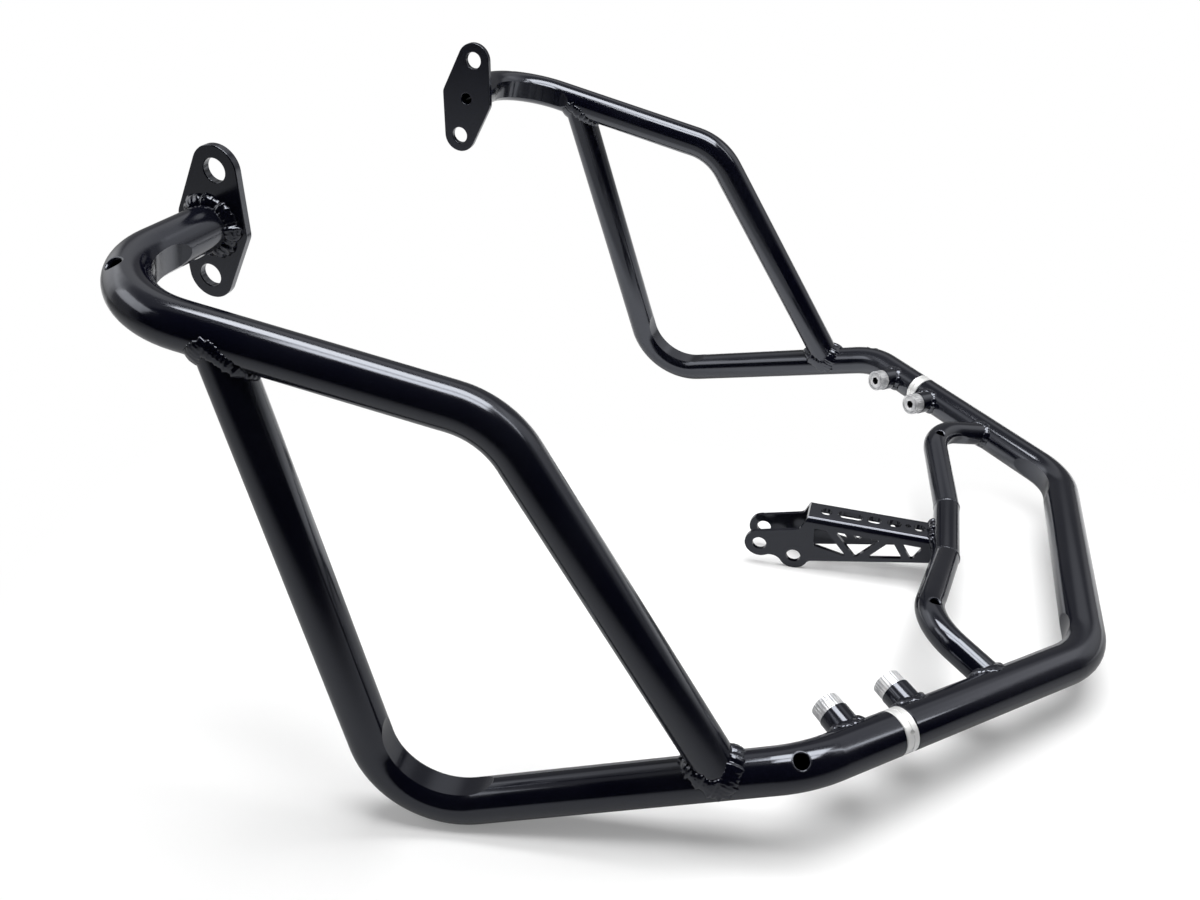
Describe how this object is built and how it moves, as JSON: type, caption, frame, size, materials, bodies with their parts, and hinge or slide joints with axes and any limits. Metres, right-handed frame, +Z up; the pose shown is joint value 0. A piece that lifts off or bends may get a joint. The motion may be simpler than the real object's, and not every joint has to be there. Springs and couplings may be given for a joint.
{
  "type": "motorcycle crash bars",
  "caption": "Pair of bent tubular side bars with frame flanges, coupled by spigots to a front hoop with an inner brace and a folded engine bracket, to guard a motorcycle's engine in a fall.",
  "frame": {"origin": "on the floor under the middle of the bars, in their middle plane", "axes": "+X to the right-hand side, +Y to the front hoop and +Z up"},
  "size_m": [0.602, 0.533, 0.3424],
  "materials": {
    "black_coat": "black powder coat with a soft gloss",
    "turned_steel": "bright turned steel",
    "zinc_steel": "zinc-plated steel"
  },
  "bodies": {
    "root": {"front_hoop_tube": "black_coat", "brace_centre_tube": "black_coat", "engine_bracket": "black_coat", "right_upper_tube": "black_coat", "right_lower_tube": "black_coat", "right_frame_flange": "black_coat", "right_brace_arm": "black_coat", "right_bar_boss": "black_coat", "right_hoop_boss": "black_coat", "right_joint_spigot": "turned_steel", "right_bar_screw": "zinc_steel", "right_hoop_screw": "zinc_steel", "left_upper_tube": "black_coat", "left_lower_tube": "black_coat", "left_frame_flange": "black_coat", "left_brace_arm": "black_coat", "left_bar_boss": "black_coat", "left_hoop_boss": "black_coat", "left_joint_spigot": "turned_steel", "left_bar_screw": "zinc_steel", "left_hoop_screw": "zinc_steel"}
  },
  "joints": []
}
